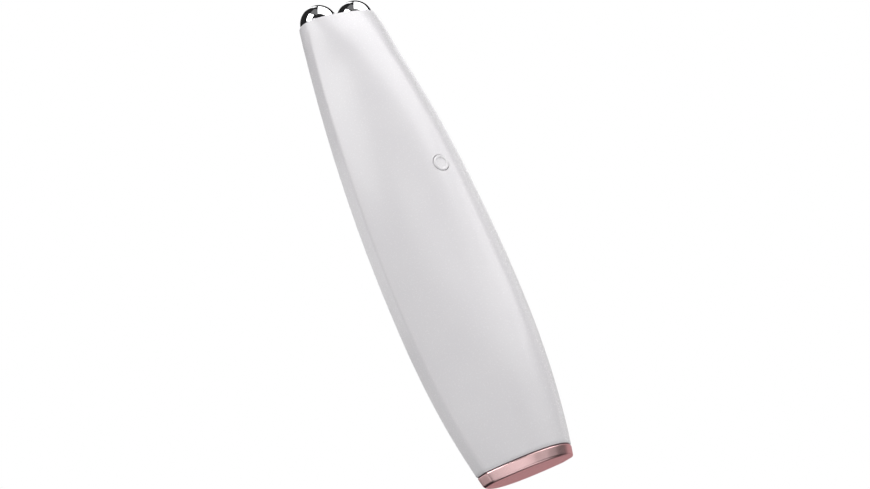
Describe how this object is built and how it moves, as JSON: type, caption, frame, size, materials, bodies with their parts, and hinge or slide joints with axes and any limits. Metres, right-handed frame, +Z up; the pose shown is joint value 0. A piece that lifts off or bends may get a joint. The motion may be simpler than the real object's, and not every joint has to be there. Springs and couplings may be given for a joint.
{
  "type": "microcurrent face-lift pen",
  "caption": "Spindle-shaped hand-held face-lift pen with two polished balls turning in its upper mouth, a ringed push button on the front and a metal end cap.",
  "frame": {"origin": "centre of the end cap's flat lower face, on the pen's long axis", "axes": "+Z up the pen from the end cap to the balls, -Y towards the button side (front), +X to the right seen from the front"},
  "size_m": [0.038, 0.0329, 0.135],
  "materials": {
    "shell_white": "satin-gloss moulded plastic, white with a faint lilac tone",
    "button_white": "satin moulded plastic, the shell's white",
    "rose_gold": "rose-gold anodised, fine satin with a polished lower edge",
    "ball_chrome": "mirror-polished plating",
    "seal_rubber": "soft matt silicone",
    "frame_plastic": "unpainted moulded plastic",
    "circuit_board": "green solder-masked laminate",
    "bush_brass": "plain turned or stamped",
    "steel": "bright plated",
    "black_plastic": "moulded",
    "coil_copper": "varnished copper winding",
    "amber_film": "amber polyimide film",
    "lamp_lens": "milky lens",
    "cell_wrap": "blue shrink wrap, bare of print",
    "foam": "closed-cell foam tape",
    "red_lead": "insulated wire",
    "black_lead": "insulated wire"
  },
  "bodies": {
    "body": {"front_shell": "shell_white", "rear_shell": "shell_white", "head_cradle": "shell_white", "end_cap": "rose_gold", "cap_gasket": "seal_rubber", "head_seal": "seal_rubber", "button_guide": "seal_rubber", "chassis": "frame_plastic", "base_plug": "frame_plastic", "main_board": "circuit_board", "charge_board": "circuit_board", "left_contact_spring": "bush_brass", "right_contact_spring": "bush_brass", "left_axle": "steel", "right_axle": "steel", "charge_socket": "steel", "battery_tab_plus": "steel", "battery_tab_minus": "steel", "chassis_screw_lower_left": "steel", "chassis_screw_lower_right": "steel", "chassis_screw_upper_left": "steel", "chassis_screw_upper_right": "steel", "head_screw_lower": "steel", "head_screw_upper": "steel", "board_screw_lower": "steel", "board_screw_upper": "steel", "base_screw_left": "steel", "base_screw_right": "steel", "switch_body": "black_plastic", "control_chip": "black_plastic", "socket_tongue": "black_plastic", "boost_coil": "coil_copper", "charge_ribbon": "amber_film", "output_capacitor": "amber_film", "status_lamp": "lamp_lens", "battery_cell": "cell_wrap", "battery_pad": "foam", "left_lead": "red_lead", "battery_lead_plus": "red_lead", "right_lead": "black_lead", "battery_lead_minus": "black_lead"},
    "left_ball": {"left_ball": "ball_chrome", "left_bush": "bush_brass"},
    "right_ball": {"right_ball": "ball_chrome", "right_bush": "bush_brass"},
    "button": {"button_cap": "button_white"},
    "switch_plunger": {"switch_plunger": "black_plastic"}
  },
  "joints": [
    {"name": "left_ball_spin", "type": "hinge", "parent": "body", "child": "left_ball", "pos_m": [-0.00585, 0, 0.12986], "axis": [0, 0, 1], "continuous": true},
    {"name": "right_ball_spin", "type": "hinge", "parent": "body", "child": "right_ball", "pos_m": [0.00585, 0, 0.12986], "axis": [0, 0, 1], "continuous": true},
    {"name": "button_press", "type": "slide", "parent": "body", "child": "button", "axis": [0, 1, 0], "range_m": [0, 0.0003], "stiffness_N_per_m": 600},
    {"name": "switch_press", "type": "slide", "parent": "body", "child": "switch_plunger", "axis": [0, 1, 0], "range_m": [0, 0.0003]}
  ],
  "couplings": [
    {"joint": "switch_press", "follows": "button_press", "ratio": 1}
  ]
}
